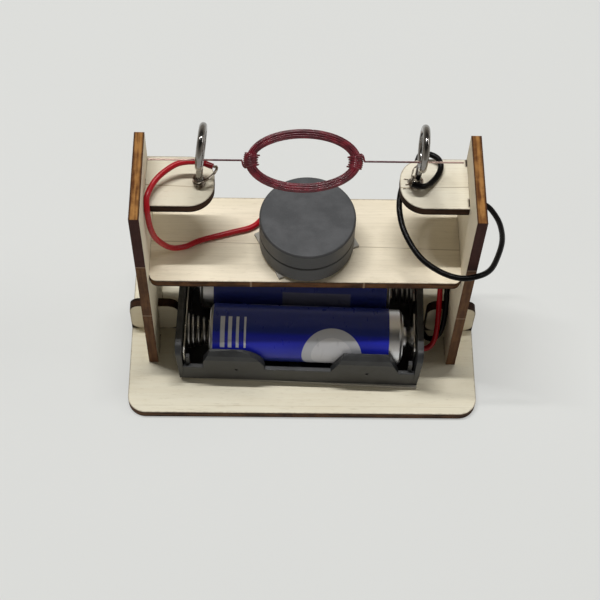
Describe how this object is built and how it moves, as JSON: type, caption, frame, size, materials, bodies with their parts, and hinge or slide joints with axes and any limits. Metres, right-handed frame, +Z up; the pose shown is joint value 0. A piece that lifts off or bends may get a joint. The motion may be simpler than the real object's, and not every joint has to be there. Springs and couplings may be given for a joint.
{
  "type": "demonstration electric motor",
  "caption": "Plywood stand whose screw eyes carry a turning wire coil above disc magnets, fed by leads from a twin cell holder on the base.",
  "frame": {"origin": "middle of the base's underside", "axes": "+X along the axle to the viewer's right, +Y to the back, +Z up"},
  "size_m": [0.0935, 0.045, 0.082],
  "materials": {
    "ply_face": "bare birch ply face with dark laser-cut edges",
    "ply_plate": "bare birch ply plate with dark laser-cut edges",
    "screw_eye": "bright nickel-plated wire",
    "magnet": "satin dark grey coating",
    "adhesive_pad": "white foam tape",
    "winding_wire": "wine-red enamelled copper wire",
    "axle_wire": "wine-red enamelled copper wire, enamel scraped where it runs",
    "holder": "black moulded plastic",
    "contact": "nickel-plated spring steel",
    "cell_can": "bright nickel-plated can",
    "cell_sleeve": "navy printed shrink sleeve",
    "cell_cap": "bright nickel-plated",
    "red_insulation": "red insulated lead",
    "black_insulation": "black insulated lead",
    "bare_strand": "tinned copper strands"
  },
  "bodies": {
    "stand": {"base_plate": "ply_face", "left_side_plate": "ply_plate", "right_side_plate": "ply_plate", "left_foot": "ply_face", "right_foot": "ply_face", "shelf": "ply_face", "left_bracket": "ply_face", "right_bracket": "ply_face", "left_screw_eye": "screw_eye", "right_screw_eye": "screw_eye", "magnet_pad": "adhesive_pad", "lower_magnet": "magnet", "upper_magnet": "magnet", "holder_foam_pad": "adhesive_pad", "cell_holder": "holder", "bridge_contact": "contact", "positive_contact": "contact", "negative_contact": "contact", "front_spring": "contact", "rear_spring": "contact", "red_lead": "red_insulation", "black_lead": "black_insulation", "left_twist": "bare_strand", "right_twist": "bare_strand"},
    "armature": {"armature_winding": "winding_wire", "left_wrap": "winding_wire", "right_wrap": "winding_wire", "left_axle": "axle_wire", "right_axle": "axle_wire"},
    "front_cell": {"front_cell_can": "cell_can", "front_cell_sleeve": "cell_sleeve", "front_cell_button": "cell_cap", "front_cell_base_cap": "cell_cap"},
    "rear_cell": {"rear_cell_can": "cell_can", "rear_cell_sleeve": "cell_sleeve", "rear_cell_button": "cell_cap", "rear_cell_base_cap": "cell_cap"}
  },
  "joints": [
    {"name": "armature_spin", "type": "hinge", "parent": "stand", "child": "armature", "pos_m": [0, 0.00647, 0.07322], "axis": [1, 0, 0], "continuous": true},
    {"name": "front_cell_lift", "type": "slide", "parent": "stand", "child": "front_cell", "axis": [0, 0, 1], "range_m": [0, 0.018]},
    {"name": "rear_cell_lift", "type": "slide", "parent": "stand", "child": "rear_cell", "axis": [0, 0, 1], "range_m": [0, 0.018]}
  ]
}
